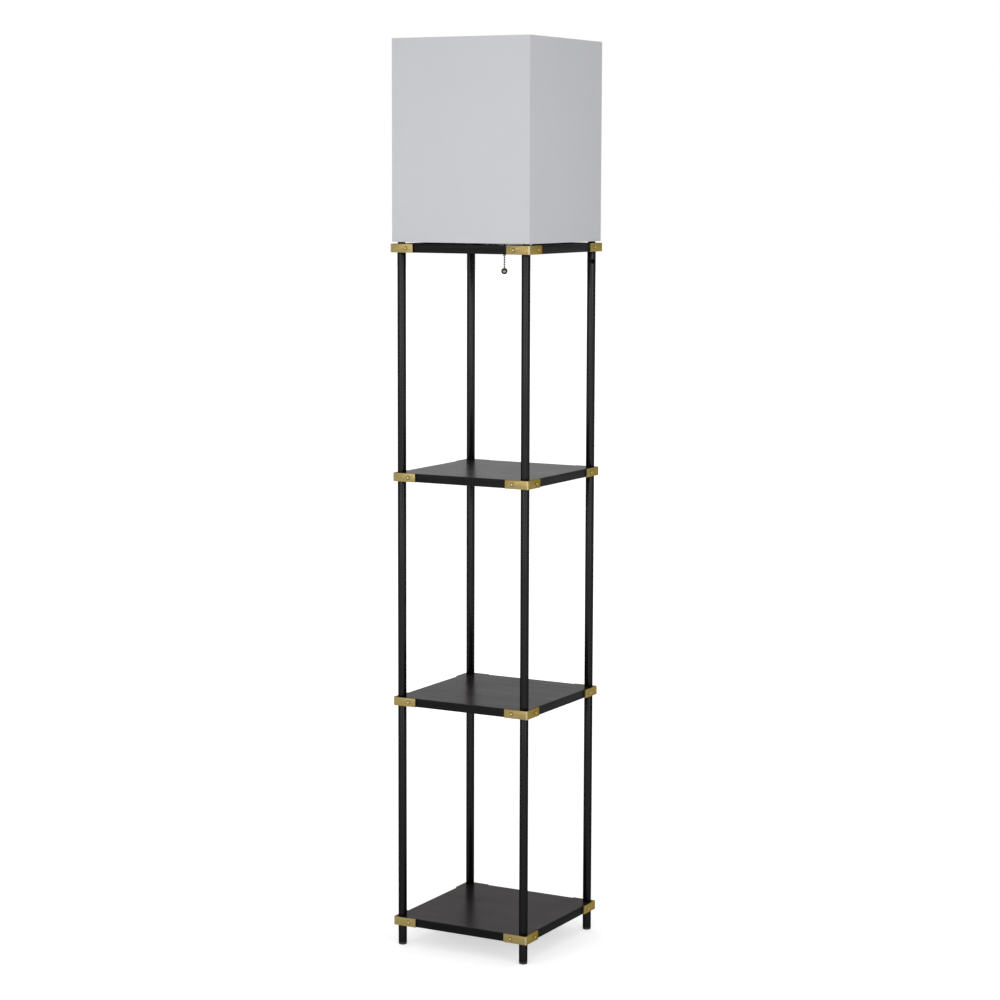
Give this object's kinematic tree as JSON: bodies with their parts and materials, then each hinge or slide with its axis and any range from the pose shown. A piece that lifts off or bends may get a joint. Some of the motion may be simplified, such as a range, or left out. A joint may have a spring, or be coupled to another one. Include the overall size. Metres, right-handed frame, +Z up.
{
  "type": "shelf floor lamp",
  "caption": "Black shelf tower floor lamp: round posts carry square shelves with brass corner brackets, under a tall square fabric shade with a pull chain.",
  "frame": {"origin": "on the floor, midway between the four feet", "axes": "+X to the right seen from the front, +Y to the back, +Z up"},
  "size_m": [0.2784, 0.2784, 1.6],
  "materials": {
    "black_tube": "semi-gloss black paint",
    "satin_brass": "satin brushed",
    "black_laminate": "board with a satin black laminate",
    "black_rail": "satin black paint",
    "black_glide": "moulded, matte",
    "zinc_steel": "zinc plated",
    "black_spacer": "semi-gloss black paint",
    "black_holder": "moulded, half gloss",
    "shell_brass": "bright stamped brass",
    "bulb_metal": "bright rolled",
    "bulb_glass": "frosted inside",
    "dark_brass": "darkened and polished",
    "shade_fabric": "off-white woven cloth on a stiff backing",
    "white_ring": "white powder coat",
    "black_rubber": "matte"
  },
  "bodies": {
    "root": {"bottom_bracket_back_left": "satin_brass", "bottom_bracket_back_right": "satin_brass", "bottom_bracket_front_left": "satin_brass", "bottom_bracket_front_right": "satin_brass", "bottom_shelf": "black_laminate", "bracket_screws": "satin_brass", "bulb_base": "bulb_metal", "bulb_glass": "bulb_glass", "cord_grommet": "black_rubber", "crossbar": "zinc_steel", "crossbar_screws": "zinc_steel", "foot_glides": "black_glide", "foot_tube_back_left": "black_tube", "foot_tube_back_right": "black_tube", "foot_tube_front_left": "black_tube", "foot_tube_front_right": "black_tube", "joining_nipples": "zinc_steel", "lower_post_back_left": "black_tube", "lower_post_back_right": "black_tube", "lower_post_front_left": "black_tube", "lower_post_front_right": "black_tube", "middle_bracket_back_left": "satin_brass", "middle_bracket_back_right": "satin_brass", "middle_bracket_front_left": "satin_brass", "middle_bracket_front_right": "satin_brass", "middle_post_back_left": "black_tube", "middle_post_back_right": "black_tube", "middle_post_front_left": "black_tube", "middle_post_front_right": "black_tube", "middle_shelf": "black_laminate", "post_top_spacers": "black_spacer", "screw_shell": "shell_brass", "shade": "shade_fabric", "shade_bottom_ring": "white_ring", "shade_cap_nuts": "zinc_steel", "shade_top_ring": "white_ring", "socket_base": "black_holder", "socket_body": "black_holder", "top_bracket_back_left": "satin_brass", "top_bracket_back_right": "satin_brass", "top_bracket_front_left": "satin_brass", "top_bracket_front_right": "satin_brass", "top_rail_back": "black_rail", "top_rail_front": "black_rail", "top_rail_left": "black_rail", "top_rail_right": "black_rail", "upper_bracket_back_left": "satin_brass", "upper_bracket_back_right": "satin_brass", "upper_bracket_front_left": "satin_brass", "upper_bracket_front_right": "satin_brass", "upper_post_back_left": "black_tube", "upper_post_back_right": "black_tube", "upper_post_front_left": "black_tube", "upper_post_front_right": "black_tube", "upper_shelf": "black_laminate"},
    "lever": {"switch_lever": "zinc_steel"},
    "pull": {"chain_upper": "dark_brass"},
    "coupling": {"chain_coupling": "dark_brass"},
    "pendant": {"chain_lower": "dark_brass", "pull_ball": "dark_brass"}
  },
  "joints": [
    {"name": "chain_pull", "type": "slide", "parent": "root", "child": "pull", "axis": [0, 0, -1], "range_m": [0, 0.008], "stiffness_N_per_m": 300, "springref_m": -0.004},
    {"name": "lever_turn", "type": "hinge", "parent": "root", "child": "lever", "pos_m": [0.00484, -0.00257, 1.27415], "axis": [0.4695, 0.8829, 0], "range_deg": [0, 27.5]},
    {"name": "coupling_swing", "type": "hinge", "parent": "pull", "child": "coupling", "pos_m": [0.01943, -0.01033, 1.2334], "axis": [0, 1, 0], "range_deg": [-20, 20]},
    {"name": "pendant_swing", "type": "hinge", "parent": "coupling", "child": "pendant", "pos_m": [0.01943, -0.01033, 1.2292], "axis": [1, 0, 0], "range_deg": [-20, 20]}
  ],
  "couplings": [
    {"joint": "lever_turn", "follows": "chain_pull", "rad_per_m": 59.341}
  ]
}
